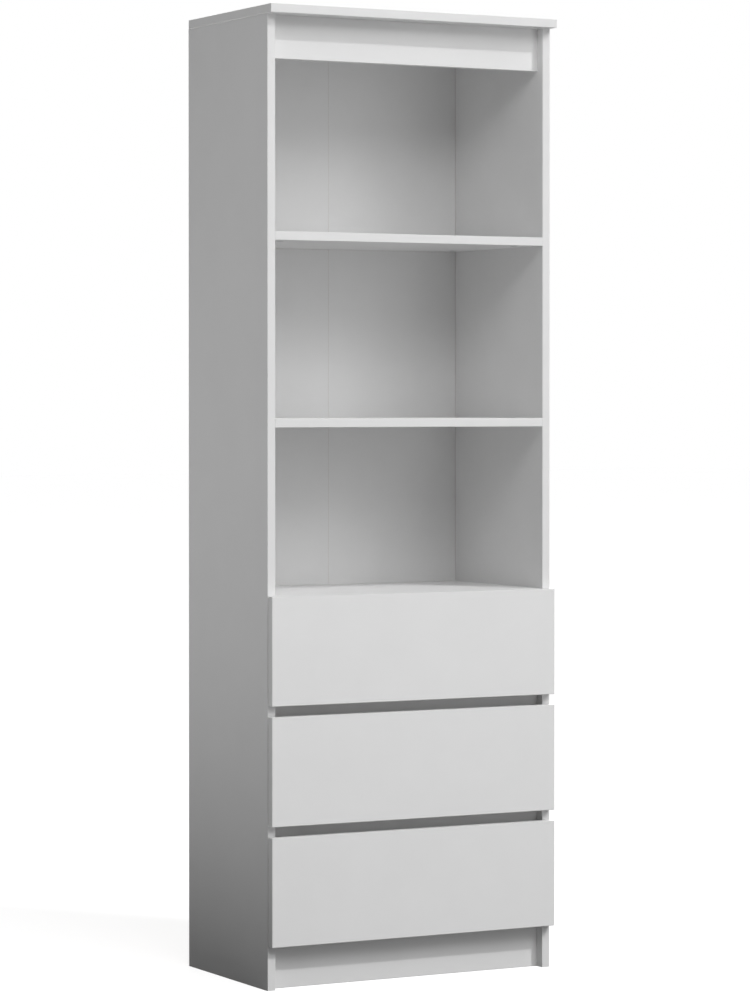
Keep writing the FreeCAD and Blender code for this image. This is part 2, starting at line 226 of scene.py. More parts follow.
def cut_away(piece, *tools):
    """Cuts the tools out of a piece."""
    for tool in tools:
        apply_modifier(piece, "BOOLEAN", object=tool, operation="DIFFERENCE", solver="EXACT")
        bpy.data.objects.remove(tool)


def smoothed(piece, degrees=35):
    """Smooth rounded parts beside flat faces that stay flat."""
    select_only(piece)
    bpy.ops.object.shade_smooth_by_angle(angle=math.radians(degrees))
    apply_modifier(piece, "WEIGHTED_NORMAL", mode="FACE_AREA", weight=100, keep_sharp=True)
    return piece


def joined(name, pieces):
    """One piece from several, each staying closed in itself."""
    select_only(*pieces)
    bpy.ops.object.join()
    return named(bpy.context.object, name)


def placed_copy(master, place):
    """A copy of a finished shape, with its own mesh, at a place given as a matrix."""
    copy = bpy.data.objects.new(master.name, master.data.copy())
    bpy.context.scene.collection.objects.link(copy)
    copy.data.transform(place)
    if place.determinant() < 0:
        copy.data.flip_normals()
    return copy


def mirrored_copy(master):
    """The right-hand twin of a left-hand shape."""
    return placed_copy(master, Matrix.Scale(-1, 4, (1, 0, 0)))


def merged_copy(node):
    """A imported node's shape as one closed mesh with whole faces."""
    piece = bpy.data.objects.new(node, NODES[node].data.copy())
    bpy.context.scene.collection.objects.link(piece)
    with editing(piece):
        bpy.ops.mesh.customdata_custom_splitnormals_clear()
        bpy.ops.mesh.select_all(action="SELECT")
        bpy.ops.mesh.remove_doubles(threshold=SAME)
        bpy.ops.mesh.dissolve_limited(angle_limit=FLAT)
    return piece


def solids_of(node):
    """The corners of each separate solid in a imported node."""
    mesh = bmesh.new()
    mesh.from_mesh(NODES[node].data)
    bmesh.ops.remove_doubles(mesh, verts=mesh.verts, dist=SAME)
    solids, seen = [], set()
    for start in mesh.verts:
        if start in seen:
            continue
        seen.add(start)
        solid, waiting = [], [start]
        while waiting:
            corner = waiting.pop()
            solid.append(corner.co.copy())
            for edge in corner.link_edges:
                other = edge.other_vert(corner)
                if other not in seen:
                    seen.add(other)
                    waiting.append(other)
        solids.append(solid)
    mesh.free()
    return solids


def seat(corners, head=None):
    """Where a turned fitting sits: z runs along its axis to its head, x to its open side."""
    low = Vector([min(corner[axis] for corner in corners) for axis in range(3)])
    high = Vector([max(corner[axis] for corner in corners) for axis in range(3)])
    size, centre = high - low, (low + high) / 2
    axis = max(range(3), key=lambda a: min(abs(size[a] - size[b]) for b in range(3) if b != a))

    def breadth(end):
        offsets = [corner - centre for corner in corners if abs(corner[axis] - end[axis]) < NEAR]
        return sum(math.hypot(*(offset[a] for a in range(3) if a != axis)) for offset in offsets)

    z_axis = Vector()
    z_axis[axis] = 1 if breadth(high) > breadth(low) else -1
    if head:
        z_axis = Vector(head)
    lean = sum((corner - centre for corner in corners
                if min(corner[axis] - low[axis], high[axis] - corner[axis]) > NEAR), Vector())
    open_axis = max((a for a in range(3) if a != axis), key=lambda a: abs(lean[a]))
    x_axis = Vector()
    x_axis[open_axis] = 1 if lean[open_axis] >= 0 else -1
    turn = Matrix((x_axis, z_axis.cross(x_axis), z_axis)).transposed()
    return Matrix.Translation(centre) @ turn.to_4x4()


# ---------------------------------------------------------------- finishes

# Where the mix node keeps its colour sockets
MIX_FACTOR, MIX_FIRST, MIX_SECOND = 0, 6, 7
MIX_COLOUR = 2


class Finish:
    """A new material and short ways to add to its nodes. Sizes of patterns are in metres."""

    def __init__(self, name, roughness, **constants):
        self.material = bpy.data.materials.new(name)
        self.material.use_nodes = True
        self.tree = self.material.node_tree
        self.shader = self.tree.nodes["Principled BSDF"]
        self.shader.inputs["Roughness"].default_value = roughness
        for socket, value in constants.items():
            self.shader.inputs[socket.replace("_", " ")].default_value = value
        self.coordinates = self.tree.nodes.new("ShaderNodeTexCoord").outputs["Object"]
        self.normal = None

    def add(self, kind, inputs, **settings):
        """A new node with its settings, its inputs set or linked."""
        node = self.tree.nodes.new(kind)
        for setting, value in settings.items():
            setattr(node, setting, value)
        for socket, value in inputs.items():
            if isinstance(value, bpy.types.NodeSocket):
                self.tree.links.new(value, node.inputs[socket])
            else:
                node.inputs[socket].default_value = value
        return node

    def stretched(self, stretch):
        """Object coordinates with the pattern drawn out along an axis."""
        return self.add("ShaderNodeMapping", {"Vector": self.coordinates, "Scale": stretch}).outputs["Vector"]

    def noise(self, size, detail=3.0, roughness=0.5, stretch=None):
        vector = self.stretched(stretch) if stretch else self.coordinates
        inputs = {"Vector": vector, "Scale": 1 / size, "Detail": detail, "Roughness": roughness}
        return self.add("ShaderNodeTexNoise", inputs).outputs["Fac"]

    def flakes(self, size, output="Distance"):
        node = self.add("ShaderNodeTexVoronoi", {"Vector": self.coordinates, "Scale": 1 / size})
        return node.outputs[output]

    def screen(self, pitch):
        """The print of a wire screen of a pitch, on faces across any axis."""
        total = None
        for direction in "XYZ":
            wires = self.add("ShaderNodeTexWave", {"Vector": self.coordinates, "Scale": math.pi / 10 / pitch},
                             wave_type="BANDS", bands_direction=direction).outputs["Fac"]
            total = self.add("ShaderNodeMath", {0: total, 1: wires}).outputs[0] if total else wires
        return total

    def blend(self, factor, first, second):
        """Two colours, or sockets, mixed by a pattern."""
        node = self.tree.nodes.new("ShaderNodeMix")
        node.data_type = "RGBA"
        self.tree.links.new(factor, node.inputs[MIX_FACTOR])
        for place, value in ((MIX_FIRST, first), (MIX_SECOND, second)):
            if isinstance(value, bpy.types.NodeSocket):
                self.tree.links.new(value, node.inputs[place])
            else:
                node.inputs[place].default_value = (*value, 1)
        return node.outputs[MIX_COLOUR]

    def ranged(self, factor, low, high, start=0.3, end=0.7):
        """A pattern's values spread between low and high."""
        inputs = {"Value": factor, "From Min": start, "From Max": end, "To Min": low, "To Max": high}
        return self.add("ShaderNodeMapRange", inputs).outputs["Result"]

    def colour(self, socket):
        self.tree.links.new(socket, self.shader.inputs["Base Color"])

    def tones(self, pattern, colour, dark, light):
        """Colours the surface from a darker to a lighter tint of a colour, as a pattern goes."""
        self.colour(self.blend(self.ranged(pattern, 0, 1), tinted(colour, dark), tinted(colour, light)))

    def roughness(self, pattern, low, high):
        self.tree.links.new(self.ranged(pattern, low, high), self.shader.inputs["Roughness"])

    def relief(self, height, depth, strength=1.0):
        """Adds a pattern's relief, of a depth in metres, to those before it."""
        inputs = {"Height": height, "Distance": depth, "Strength": strength}
        if self.normal:
            inputs["Normal"] = self.normal
        self.normal = self.add("ShaderNodeBump", inputs).outputs["Normal"]
        self.tree.links.new(self.normal, self.shader.inputs["Normal"])


def tinted(colour, factor):
    """A colour made lighter or darker, as a plain triple."""
    return tuple(min(1.0, part * factor) for part in colour)


def white_melamine(name, look):
    """Satin melamine face: a fine pearl texture and a hardly visible cloudiness of the paper."""
    finish = Finish(name, look.face_roughness, Specular_IOR_Level=look.board_shine)
    cloud = finish.noise(0.09, detail=4.0)
    grain = finish.noise(0.0011, detail=2.0)
    finish.tones(cloud, look.board_colour, 0.988, 1.008)
    finish.roughness(grain, look.face_roughness - 0.05, look.face_roughness + 0.05)
    finish.relief(finish.noise(0.0018, detail=2.0), 0.00005, 0.7)
    finish.relief(finish.noise(0.045, detail=1.0), 0.00006, 0.35)
    return finish.material


def white_edge_band(name, look):
    """Plastic edge band: a little glossier than the faces, with the faint lines of its extrusion."""
    finish = Finish(name, look.band_roughness, Specular_IOR_Level=look.board_shine)
    cloud = finish.noise(0.05, detail=2.0)
    finish.tones(cloud, look.board_colour, 0.965, 0.985)
    finish.roughness(finish.noise(0.002), look.band_roughness - 0.04, look.band_roughness + 0.04)
    finish.relief(finish.noise(0.0012, detail=1.0), 0.00002, 0.4)
    return finish.material


def raw_chipboard(name, look):
    """Cut chipboard: pressed flakes of several tones, with painted shade for the pits between them."""
    finish = Finish(name, 0.85, Specular_IOR_Level=0.2)
    flakes = finish.flakes(0.0032, output="Color")
    tone = finish.add("ShaderNodeRGBToBW", {"Color": flakes}).outputs["Val"]
    base = finish.blend(tone, look.chip_colour, tinted(look.chip_colour, 1.45))
    fine = finish.noise(0.0012, detail=4.0)
    # Painted shade: the fine pattern's high spots are darkened towards dark brown, standing for the shade in
    # the pits between the flakes.
    base = finish.blend(finish.ranged(fine, 0, 0.5, 0.45, 0.75), base, tinted(look.chip_colour, 0.55))
    finish.colour(base)
    finish.relief(finish.flakes(0.0032), 0.0003, 0.6)
    finish.relief(fine, 0.0002, 0.5)
    return finish.material


def white_lacquer(name, look):
    """The lacquered face of hardboard: matt, with the fibres just showing through as relief."""
    finish = Finish(name, 0.5, Specular_IOR_Level=look.board_shine)
    cloud = finish.noise(0.07, detail=5.0)
    finish.tones(cloud, look.back_colour, 0.985, 1.008)
    finish.roughness(finish.noise(0.003), 0.46, 0.56)
    finish.relief(finish.noise(0.0022, detail=5.0, roughness=0.7, stretch=(1.0, 1.0, 0.6)), 0.00006, 0.5)
    return finish.material


def brown_hardboard(name, look):
    """The bare face of hardboard: matted brown fibres with darker flecks and the print of the screen."""
    finish = Finish(name, 0.72, Specular_IOR_Level=0.3)
    screen = finish.screen(0.0018)
    fibres = finish.noise(0.004, detail=8.0, roughness=0.75, stretch=(1.0, 1.0, 0.45))
    cloud = finish.noise(0.12, detail=3.0)
    base = finish.blend(finish.ranged(fibres, 0, 1), tinted(look.hardboard_colour, 0.72),
                        tinted(look.hardboard_colour, 1.25))
    base = finish.blend(finish.ranged(cloud, 0, 0.35), base, tinted(look.hardboard_colour, 0.9))
    flecks = finish.ranged(finish.noise(0.0016, detail=2.0), 0, 0.6, 0.62, 0.72)
    base = finish.blend(flecks, base, tinted(look.hardboard_colour, 0.45))
    print_marks = finish.ranged(screen, 0.3, 0, 0.4, 1.6)
    finish.colour(finish.blend(print_marks, base, tinted(look.hardboard_colour, 0.6)))
    finish.relief(fibres, 0.0002, 0.5)
    finish.relief(screen, 0.0001, 0.6)
    return finish.material


def zinc_plated(name, look):
    """Bright zinc on steel: metallic, slightly cloudy, with fine rolling marks."""
    finish = Finish(name, look.metal_roughness, Metallic=1.0)
    spangle = finish.noise(0.004, detail=3.0)
    finish.tones(spangle, look.zinc_colour, 0.9, 1.06)
    finish.roughness(finish.noise(0.0009), look.metal_roughness - 0.08, look.metal_roughness + 0.1)
    finish.relief(finish.noise(0.0006, detail=1.0), 0.00001, 0.4)
    return finish.material


def zinc_casting(name, look):
    """Die-cast zinc of the cams: duller and greyer, with the grain of the mould."""
    finish = Finish(name, 0.48, Metallic=1.0)
    cloud = finish.noise(0.003, detail=4.0)
    finish.tones(cloud, look.zinc_colour, 0.66, 0.82)
    finish.roughness(finish.noise(0.0008), 0.4, 0.58)
    finish.relief(finish.noise(0.0005, detail=2.0), 0.00003, 0.5)
    return finish.material


def white_powder_coat(name, look):
    """White powder coat on sheet steel, with its fine orange peel."""
    finish = Finish(name, 0.38)
    cloud = finish.noise(0.03)
    finish.tones(cloud, look.coat_colour, 0.98, 1.01)
    finish.roughness(finish.noise(0.001), 0.34, 0.44)
    finish.relief(finish.noise(0.0014, detail=1.0), 0.00004, 0.6)
    return finish.material


def nylon(name, look):
    """Natural nylon of the rollers: creamy white and softly shining, scuffed round the tread."""
    finish = Finish(name, 0.4, Subsurface_Weight=0.08, Subsurface_Scale=0.002)
    scuffs = finish.noise(0.0035, detail=5.0, roughness=0.65)
    finish.colour(finish.blend(finish.ranged(scuffs, 0, 1, 0.45, 0.8), look.nylon_colour,
                               tinted(look.nylon_colour, 0.86)))
    finish.roughness(scuffs, 0.34, 0.52)
    finish.relief(finish.noise(0.0009), 0.00002, 0.4)
    return finish.material


def white_plastic(name, look):
    """Matt extruded plastic of the joint tape, with lines along it."""
    finish = Finish(name, 0.42)
    lines = finish.noise(0.0016, detail=2.0, stretch=(1.0, 1.0, 0.02))
    finish.tones(lines, look.coat_colour, 0.97, 1.01)
    finish.relief(lines, 0.00004, 0.5)
    return finish.material


def soft_plastic(name, look):
    """Milky soft plastic of the bumpers."""
    finish = Finish(name, 0.55, Subsurface_Weight=0.2, Subsurface_Scale=0.003)
    cloud = finish.noise(0.002, detail=3.0)
    finish.tones(cloud, look.nylon_colour, 0.96, 1.04)
    finish.relief(finish.noise(0.0008), 0.00003, 0.4)
    return finish.material


def beech(name, look):
    """Beech of the dowels: pale brown with short dark flecks."""
    finish = Finish(name, 0.62)
    grain = finish.noise(0.0011, detail=5.0, stretch=(0.18, 1.0, 1.0))
    base = finish.blend(finish.ranged(grain, 0, 1), tinted(look.beech_colour, 0.8),
                        tinted(look.beech_colour, 1.1))
    flecks = finish.ranged(finish.noise(0.0007, detail=1.0), 0, 0.5, 0.6, 0.7)
    finish.colour(finish.blend(flecks, base, tinted(look.beech_colour, 0.6)))
    finish.relief(grain, 0.00008, 0.6)
    return finish.material


def finish_with(piece, *finishes):
    """Gives a piece its materials, each made the first time that it is asked for."""
    piece.data.materials.clear()
    for make in finishes:
        name = make.__name__
        material = bpy.data.materials.get(name) or make(name, bpy.context.scene.bookcase_finishes)
        piece.data.materials.append(material)
    return piece


def settle(piece, node):
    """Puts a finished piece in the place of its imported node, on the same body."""
    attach(piece, BODY_OF[node])
    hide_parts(node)


# ---------------------------------------------------------------- boards


def edge_band(low, high, axis, side, full_length):
    """One strip of edge band with its outer edges rounded and a hairline where it meets the faces."""
    sizes = bpy.context.scene.bookcase_boards
    outer = (high if side > 0 else low)[axis]
    length_axis = max((a for a in range(3) if a != axis), key=lambda a: high[a] - low[a])
    strip = new_block("edge_band", low, high)

    def depths(edge):
        return [abs(corner.co[axis] - outer) for corner in edge.verts]

    def rounded(edge):
        if runs_along(edge, axis):
            return full_length
        return max(depths(edge)) < SAME and (full_length or runs_along(edge, length_axis))

    def at_face(edge):
        return runs_along(edge, length_axis) and min(depths(edge)) > MOSTLY * sizes.band_thickness

    with editing(strip):
        bevel(strip, "edges", rounded, sizes.band_radius, 4)
        bevel(strip, "edges", at_face, sizes.band_seam, 1)
    return finish_with(strip, white_edge_band)


def banded_board(node, thin, bands):
    """A board with melamine faces, raw chipboard where it is cut or drilled, and banded edges."""
    thickness = bpy.context.scene.bookcase_boards.band_thickness
    low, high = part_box(node)
    core = merged_copy(node)
    all_round = len(bands) == 4
    strips = []
    with editing(core):
        for axis, side in bands:
            face = (high if side > 0 else low)[axis] - side * thickness
            point, normal = Vector(), Vector()
            point[axis], normal[axis] = face, side
            bpy.ops.mesh.select_all(action="SELECT")
            bpy.ops.mesh.bisect(plane_co=point, plane_no=normal, use_fill=True, clear_outer=True,
                                threshold=SAME)
    finish_with(core, white_melamine, raw_chipboard)
    for face in core.data.polygons:
        level = face.center[thin]
        on_face = abs(face.normal[thin]) > MOSTLY and min(level - low[thin], high[thin] - level) < NEAR
        face.material_index = 0 if on_face else 1
    for place, (axis, side) in enumerate(bands):
        strip_low, strip_high = low.copy(), high.copy()
        if side > 0:
            strip_low[axis] = high[axis] - thickness
        else:
            strip_high[axis] = low[axis] + thickness
        full_length = all_round and place >= 2
        if all_round and place < 2:
            across = bands[-1][0]
            strip_low[across] += thickness
            strip_high[across] -= thickness
        strips.append(edge_band(strip_low, strip_high, axis, side, full_length))
    board = joined(f"banded_{node}", [core] + strips)
    smoothed(board)
    settle(board, node)
    return board


def hardboard_leaf(node, thin, white_side):
    """A sheet of hardboard with one lacquered face and the other bare."""
    low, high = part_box(node)
    leaf = merged_copy(node)
    white = (high if white_side > 0 else low)[thin]
    finish_with(leaf, white_lacquer, brown_hardboard)
    for face in leaf.data.polygons:
        lacquered = abs(face.normal[thin]) > MOSTLY and abs(face.center[thin] - white) < NEAR
        face.material_index = 0 if lacquered else 1
    named(leaf, f"lacquered_{node}")
    smoothed(leaf)
    settle(leaf, node)


# Between which places the tape's two grooves run, as parts of its width from its middle
TAPE_GROOVES = ((-0.28, -0.2), (0.2, 0.28))


def seam_tape(node):
    """The plastic tape over the seam of the back: a ribbed strip with a stem in the seam."""
    low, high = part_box(node)
    centre_x, width = (low.x + high.x) / 2, high.x - low.x
    stem_x = [corner.x for corner in solids_of(node)[0] if corner.y < low.y + NEAR]
    thickness = bpy.context.scene.bookcase_boards.tape_thickness
    strip = new_block("strip", (low.x, high.y - thickness, low.z), high)

    def in_groove(face):
        place = (middle(face).x - centre_x) / width
        return face.normal.y > MOSTLY and any(start < place < end for start, end in TAPE_GROOVES)

    def corner_edge(edge):
        return edge_at(Z, y=high.y)(edge) and abs(abs(middle(edge).x - centre_x) - width / 2) < SAME

    with editing(strip):
        for place in sum(TAPE_GROOVES, ()):
            bpy.ops.mesh.select_all(action="SELECT")
            bpy.ops.mesh.bisect(plane_co=(centre_x + place * width, 0, 0), plane_no=(1, 0, 0))
        pick(strip, "faces", in_groove)
        bpy.ops.mesh.inset(thickness=0.2 * MM, use_individual=True)
        bpy.ops.transform.translate(value=(0, -0.3 * thickness, 0))
        bevel(strip, "edges", corner_edge, 0.45 * thickness, 3)
    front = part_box("back_panel_left")[0].y + 0.1 * MM
    stem = new_block("stem", (min(stem_x), front, low.z), (max(stem_x), high.y - thickness, high.z))
    with editing(stem):
        bevel(stem, "edges", edge_at(Z, y=front), 0.3 * (max(stem_x) - min(stem_x)), 2)
    tape = joined("back_seam_tape", [strip, stem])
    smoothed(finish_with(tape, white_plastic))
    settle(tape, node)


# ---------------------------------------------------------------- fittings
# Each is modelled once about the origin, with z along its axis to its head, and copied to its places.


def cross_recess(reach, width, top, depth, taper=0.6):
    """Two crossed wedges, to cut a driver's recess in a head. Sizes are in millimetres."""
    blades = []
    for half_x, half_y in ((reach, width), (width, reach)):
        blade = new_block("blade", (-half_x * MM, -half_y * MM, (top - depth) * MM),
                          (half_x * MM, half_y * MM, (top + 0.5) * MM))
        with editing(blade):
            pick(blade, "faces", lambda face: face.normal.z < -MOSTLY)
            bpy.ops.transform.resize(value=(taper, taper, 1), center_override=(0, 0, (top - depth) * MM))
        blades.append(blade)
    return blades


def cam_master():
    """A cam: bevelled rim, sunk face with a cross recess and an arrow to the bolt, and the bolt's opening."""
    profile = [(7.1, -6.25), (7.5, -5.9), (7.5, 5.8), (7.25, 6.25), (6.7, 6.25), (6.5, 5.95)]
    cam = turned("cam", profile, around=40)
    mouth = new_rod("mouth", 4 * MM, (-2 * MM, 0, -1.75 * MM), (9 * MM, 0, -1.75 * MM), axis=X)
    bpy.ops.mesh.primitive_cylinder_add(vertices=3, radius=1.1 * MM, depth=1.2 * MM,
                                        location=(5.2 * MM, 0, 6.1 * MM), rotation=(0, 0, -math.pi / 2))
    arrow = named(bpy.context.object, "arrow")
    bpy.ops.object.transform_apply()
    cut_away(cam, mouth, arrow, *cross_recess(4.4, 0.8, 5.95, 2.3))
    return smoothed(finish_with(cam, zinc_casting))


def threaded(start, end, crest, root, pitch):
    """The profile of a screw thread as rings from start to end."""
    rings, height = [], start
    while height + pitch <= end + SAME:
        rings += [(root, height), (crest, height + 0.35 * pitch), (crest, height + 0.5 * pitch),
                  (root, height + 0.85 * pitch)]
        height += pitch
    return rings


def bolt_master():
    """A connecting bolt: coarse thread, collar, shank, neck and rounded head."""
    profile = [(1.2, -22.5), (1.9, -22.0)] + threaded(-22.0, -12.4, 2.5, 1.9, 1.6)
    profile += [(2.2, -11.8), (3.3, -11.5), (3.4, -11.2), (3.4, -10.2), (2.9, -9.6)]
    profile += [(2.9, 13.2), (3.4, 13.8), (3.4, 15.1), (2.1, 15.5), (2.0, 15.8)]
    profile += [(2.0, 19.5), (2.9, 19.5), (3.4, 20.2), (3.3, 21.6), (2.4, 22.5)]
    return smoothed(finish_with(turned("bolt", profile, around=20), zinc_plated))


def dowel_master():
    """A fluted dowel with chamfered ends."""
    profile = [(2.9, -15), (3.9, -14), (4.0, -13.4), (4.0, 13.4), (3.9, 14), (2.9, 15)]
    around = 24
    dowel = turned("dowel", profile, around)

    def in_flute(corner):
        turn = math.atan2(corner.co.y, corner.co.x) / (2 * math.pi)
        return abs(corner.co.z) < 14.5 * MM and round(turn * around) % 3 == 0

    with editing(dowel):
        pick(dowel, "verts", in_flute)
        bpy.ops.transform.resize(value=(0.93, 0.93, 1), center_override=(0, 0, 0))
    return finish_with(dowel, beech)


def screw_master():
    """A pan-head wood screw with a cross recess."""
    profile = [(0.25, -5.8), (0.9, -4.9)] + threaded(-4.9, 3.2, 1.75, 1.2, 0.9)
    profile += [(1.5, 4.2), (2.8, 4.2), (3.0, 4.4), (3.0, 4.8), (2.8, 5.25), (2.3, 5.6), (1.5, 5.8)]
    screw = turned("screw", profile, around=20)
    cut_away(screw, *cross_recess(1.5, 0.38, 5.8, 1.1))
    return smoothed(finish_with(screw, zinc_plated))


def nail_master():
    """A back nail with a thin domed head."""
    profile = [(0.15, -9.25), (0.9, -7.4), (0.9, 8.7), (2.0, 8.75), (2.2, 8.9), (2.0, 9.1), (1.3, 9.25)]
    return smoothed(finish_with(turned("nail", profile, around=14), zinc_plated))


def roller_master():
    """A nylon roller: chamfered tread, hub and rim raised on both faces, counterbore for the rivet."""
    profile = [(2.55, -3.6), (4.9, -3.6), (5.3, -3.0), (7.6, -3.0), (8.0, -3.6), (8.9, -3.6), (9.5, -3.3)]
    profile += [(9.7, -2.8), (9.7, 2.8), (9.5, 3.3), (8.9, 3.6), (7.9, 3.6), (7.5, 2.9), (5.9, 2.9)]
    profile += [(5.5, 3.6), (4.6, 3.6), (4.4, 3.4), (4.4, 2.0), (2.55, 2.0), (2.55, -3.6)]
    return smoothed(finish_with(turned("roller", profile, around=48, closed=True), nylon))


def bumper_master():
    """A soft domed bumper."""
    profile = [(4.6, -1.25), (5.0, -1.0), (5.0, -0.2), (4.7, 0.35)]
    profile += [(4.0, 0.8), (2.9, 1.1), (1.6, 1.22), (0.6, 1.25)]
    return smoothed(finish_with(turned("bumper", profile, around=32), soft_plastic), degrees=50)


def fit_everywhere(name, node, master, head=None):
    """Copies a fitting to the place of every solid of a node."""
    copies = [placed_copy(master, seat(corners, head)) for corners in solids_of(node)]
    settle(joined(name, copies), node)


# ---------------------------------------------------------------- sheet steel

# Radius of a screw's hole, half the width of a runner's slot, and how far a tool goes through the sheet
SCREW_HOLE = 2 * MM
SLOT = 2.2 * MM
REACH = 3 * MM
# Where the slots begin, as parts of a runner's length, and how far they are drawn out
CABINET_SLOTS = (0.3, 0.5, 0.7)
CABINET_SLOT_RUN = 7 * MM
DRAWER_SLOTS = (0.35, 0.55, 0.75)
DRAWER_SLOT_RUN = 6 * MM
# Rounding of the corners of flanges and bracket legs, and of a runner's stop
SHEET_CORNER = 4 * MM
STOP_CORNER = 2 * MM


def sheet(name, corner, size, axis):
    """A flat sheet across an axis, from its low corner; its size is zero along that axis."""
    corner, size = Vector(corner), Vector(size)
    turn = {X: (0, math.pi / 2, 0), Y: (math.pi / 2, 0, 0), Z: (0, 0, 0)}[axis]
    spread = {X: (size.z, size.y, 1), Y: (size.x, size.z, 1), Z: (size.x, size.y, 1)}[axis]
    bpy.ops.mesh.primitive_plane_add(size=1, location=corner + size / 2, rotation=turn)
    piece = named(bpy.context.object, name)
    piece.scale = spread
    bpy.ops.object.transform_apply()
    return piece


def fold_out(piece, test, move):
    """In edit mode, draws out the edges that pass the test as a new flange."""
    pick(piece, "edges", test)
    bpy.ops.mesh.extrude_edges_move(TRANSFORM_OT_translate={"value": move})


def thickened(piece, thickness):
    """Gives a folded sheet its thickness about its middle, and breaks its sharp edges."""
    with editing(piece):
        bpy.ops.mesh.select_all(action="SELECT")
        bpy.ops.mesh.normals_make_consistent(inside=False)
    apply_modifier(piece, "SOLIDIFY", thickness=thickness, offset=0.0, use_even_offset=True)
    apply_modifier(piece, "BEVEL", width=0.12 * thickness, segments=1, limit_method="ANGLE",
                   angle_limit=SHARP)


def slot_tool(centre, radius, length, axis):
    """A tool for a round hole, or for a slot drawn out along y."""
    reach = Vector()
    reach[axis] = REACH
    tool = new_rod("slot", radius, Vector(centre) - reach, Vector(centre) + reach, axis=axis, around=20)
    if length:
        with editing(tool):
            pick(tool, "verts", lambda corner: corner.co.y > centre[Y] + SAME)
            bpy.ops.transform.translate(value=(0, length, 0))
    return tool


def rivet(sheet_face, place, way):
    """A roller's rivet from inside the sheet, with a domed head in the roller's counterbore."""
    profile = [(2.5, -0.6), (2.5, 6.2), (3.5, 6.2), (3.8, 6.5), (3.7, 6.95), (3.0, 7.35), (1.6, 7.5)]
    pin = turned("rivet", profile, around=28)
    turn = Matrix.Rotation(way * math.pi / 2, 4, "Y")
    pin.data.transform(Matrix.Translation((sheet_face, place[0], place[1])) @ turn)
    return smoothed(pin)


def screw_places(node, low, high):
    """The middles of the screws of a node that lie between two corners."""
    middles = []
    for corners in solids_of(node):
        centre = sum(corners, Vector()) / len(corners)
        if all(low[axis] <= centre[axis] <= high[axis] for axis in range(3)):
            middles.append(centre)
    return middles


def left_roller_place(node):
    """The axis (y, z) of a node's left roller."""
    for corners in solids_of(node):
        low_y, high_y = min(c.y for c in corners), max(c.y for c in corners)
        low_z, high_z = min(c.z for c in corners), max(c.z for c in corners)
        if corners[0].x < 0:
            return (low_y + high_y) / 2, (low_z + high_z) / 2
    raise RuntimeError(f"{node} has no roller on the left")


def left_cabinet_runner(drawer):
    """A channel for one drawer: web, track, cover open at the mouth, rear stop, holes and slots, rivet."""
    sizes = bpy.context.scene.bookcase_fittings
    steel = sizes.steel_thickness
    low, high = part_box("left_cabinet_runners")
    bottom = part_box(f"{drawer}_drawer_left_runner")[0].z - sizes.flange_lift
    height, depth = sizes.channel_height, sizes.channel_depth
    start, end = low.y, high.y
    web_x = low.x + steel / 2
    runner = sheet("cabinet_runner", (web_x, start, bottom + steel / 2), (0, end - start, height - steel), X)
    low_z, high_z = bottom + steel / 2, bottom + height - steel / 2
    flange = depth - steel / 2
    with editing(runner):
        for level in (low_z, high_z):
            fold_out(runner, edge_at(Y, z=level), (flange, 0, 0))
        bevel(runner, "edges", edge_at(Y, x=web_x), 0.9 * steel, 4)
        mouth = start + sizes.channel_mouth
        bpy.ops.mesh.select_all(action="SELECT")
        bpy.ops.mesh.bisect(plane_co=(0, mouth, 0), plane_no=(0, 1, 0), threshold=SAME)
        pick(runner, "faces", lambda face: middle(face).y < mouth and middle(face).z > high_z - steel)
        bpy.ops.mesh.delete(type="FACE")
    thickened(runner, steel)
    middle_z = bottom + height / 2
    screws = screw_places("carcass_screws", (low.x - 30 * MM, start, bottom),
                          (low.x + 30 * MM, end, bottom + height))
    holes = [slot_tool((web_x, screw.y, screw.z), SCREW_HOLE, 0, X) for screw in screws]
    for place in CABINET_SLOTS:
        slot_start = start + place * (end - start)
        holes.append(slot_tool((web_x, slot_start, middle_z), SLOT, CABINET_SLOT_RUN, X))
    cut_away(runner, *holes)
    stop = sheet("stop", (low.x + 1.1 * steel, end - steel / 2, bottom + 1.4 * steel),
                 (depth - 1.1 * steel, 0, height - 2.8 * steel), Y)
    with editing(stop):
        bevel(stop, "verts", lambda corner: corner.co.x > web_x + 3 * MM, STOP_CORNER, 4)
    thickened(stop, steel)
    axle = left_roller_place(f"{drawer}_cabinet_rollers")
    return joined("cabinet_runner", [smoothed(runner), smoothed(stop), rivet(low.x + steel, axle, 1)])


